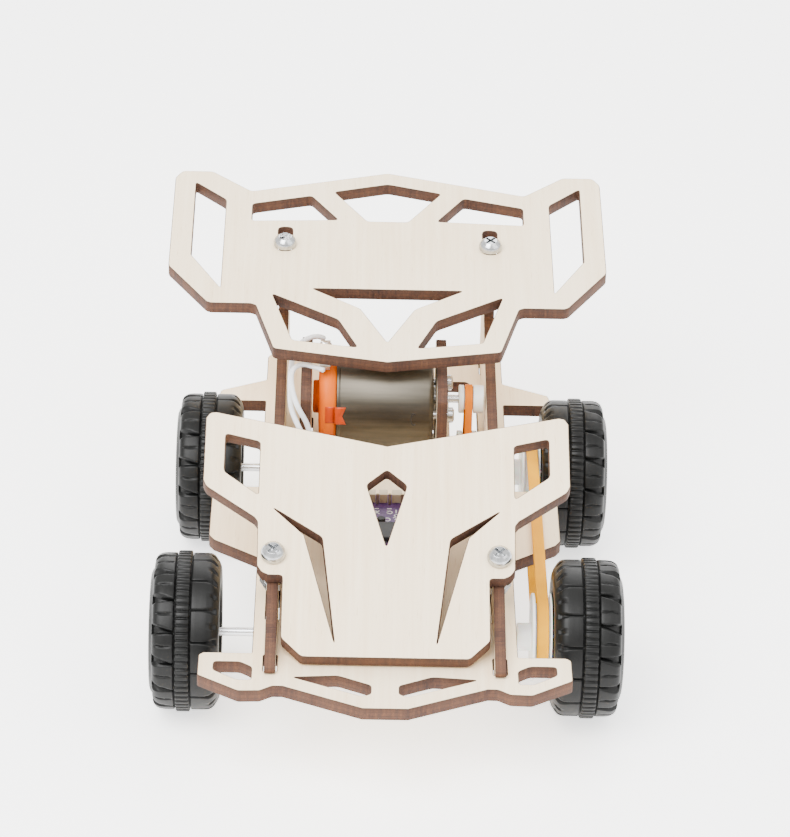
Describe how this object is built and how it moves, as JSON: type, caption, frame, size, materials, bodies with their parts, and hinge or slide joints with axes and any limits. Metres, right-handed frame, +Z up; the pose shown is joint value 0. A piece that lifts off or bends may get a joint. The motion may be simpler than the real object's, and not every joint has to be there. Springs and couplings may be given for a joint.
{
  "type": "four wheel robot chassis",
  "caption": "Plywood model car chassis with tilted hood, rear panel, belt driven axles, small electric motor, control board and treaded wheels.",
  "frame": {"origin": "middle of the bounding box's floor face, under the car", "axes": "+X to the car's right, -Y forward (bumper), +Z up"},
  "size_m": [0.1076, 0.1844, 0.0648],
  "materials": {
    "plywood": "satin",
    "screw_steel": "polished",
    "axle_steel": "satin",
    "motor_steel": "satin",
    "orange_plastic": "satin",
    "tinned_metal": "satin",
    "pulley_plastic": "satin",
    "yellow_belt": "matte",
    "tyre_rubber": "satin",
    "wheel_plastic": "satin",
    "board_laminate": "satin",
    "black_plastic": "matte",
    "tan_plastic": "matte",
    "cell_sleeve": "gloss",
    "wire_sleeve": "satin"
  },
  "bodies": {
    "chassis": {"base_plate": "plywood", "side_plate_left": "plywood", "side_plate_right": "plywood", "motor_plate_left": "plywood", "motor_plate_right": "plywood", "hood_panel": "plywood", "spoiler_panel": "plywood", "hood_screw_left": "screw_steel", "hood_screw_right": "screw_steel", "spoiler_screw_left": "screw_steel", "spoiler_screw_right": "screw_steel", "hood_nut_left": "screw_steel", "hood_nut_right": "screw_steel", "spoiler_nut_left": "screw_steel", "spoiler_nut_right": "screw_steel", "motor_screw_1": "screw_steel", "motor_screw_2": "screw_steel", "board_screw_left": "screw_steel", "board_screw_right": "screw_steel", "holder_screw_1": "screw_steel", "holder_screw_2": "screw_steel", "motor_can": "motor_steel", "motor_cap": "orange_plastic", "motor_terminal_1": "tinned_metal", "motor_terminal_2": "tinned_metal", "board_spacer_left": "pulley_plastic", "board_spacer_right": "pulley_plastic", "axle_belt": "yellow_belt", "motor_belt": "yellow_belt", "control_board": "board_laminate", "board_chip": "black_plastic", "board_header": "black_plastic", "battery_holder": "black_plastic", "switch_body": "black_plastic", "board_socket_left": "tan_plastic", "board_socket_right": "tan_plastic", "battery_cell_1": "cell_sleeve", "battery_cell_2": "cell_sleeve", "motor_wire_1": "wire_sleeve", "motor_wire_2": "wire_sleeve"},
    "front_axle_set": {"front_axle": "axle_steel", "front_left_tyre": "tyre_rubber", "front_left_hub": "wheel_plastic", "front_right_tyre": "tyre_rubber", "front_right_hub": "wheel_plastic", "front_drive_pulley": "pulley_plastic", "front_collar_left": "pulley_plastic", "front_collar_right": "pulley_plastic"},
    "rear_axle_set": {"rear_axle": "axle_steel", "rear_left_tyre": "tyre_rubber", "rear_left_hub": "wheel_plastic", "rear_right_tyre": "tyre_rubber", "rear_right_hub": "wheel_plastic", "rear_drive_pulley": "pulley_plastic", "rear_motor_pulley": "pulley_plastic", "rear_collar_left": "pulley_plastic"},
    "motor_rotor": {"motor_shaft": "axle_steel", "motor_pulley": "pulley_plastic"},
    "switch_slider": {"switch_knob": "pulley_plastic"}
  },
  "joints": [
    {"name": "rear_axle_spin", "type": "hinge", "parent": "chassis", "child": "rear_axle_set", "pos_m": [0, 0.02235, 0.0183], "axis": [1, 0, 0], "continuous": true},
    {"name": "front_axle_spin", "type": "hinge", "parent": "chassis", "child": "front_axle_set", "pos_m": [0, -0.05115, 0.0183], "axis": [1, 0, 0], "continuous": true},
    {"name": "motor_spin", "type": "hinge", "parent": "chassis", "child": "motor_rotor", "pos_m": [0, 0.02285, 0.0383], "axis": [1, 0, 0], "continuous": true},
    {"name": "power_switch", "type": "slide", "parent": "chassis", "child": "switch_slider", "axis": [1, 0, 0], "range_m": [0, 0.0035]}
  ],
  "couplings": [
    {"joint": "front_axle_spin", "follows": "rear_axle_spin", "ratio": 1},
    {"joint": "motor_spin", "follows": "rear_axle_spin", "ratio": 2.625}
  ]
}
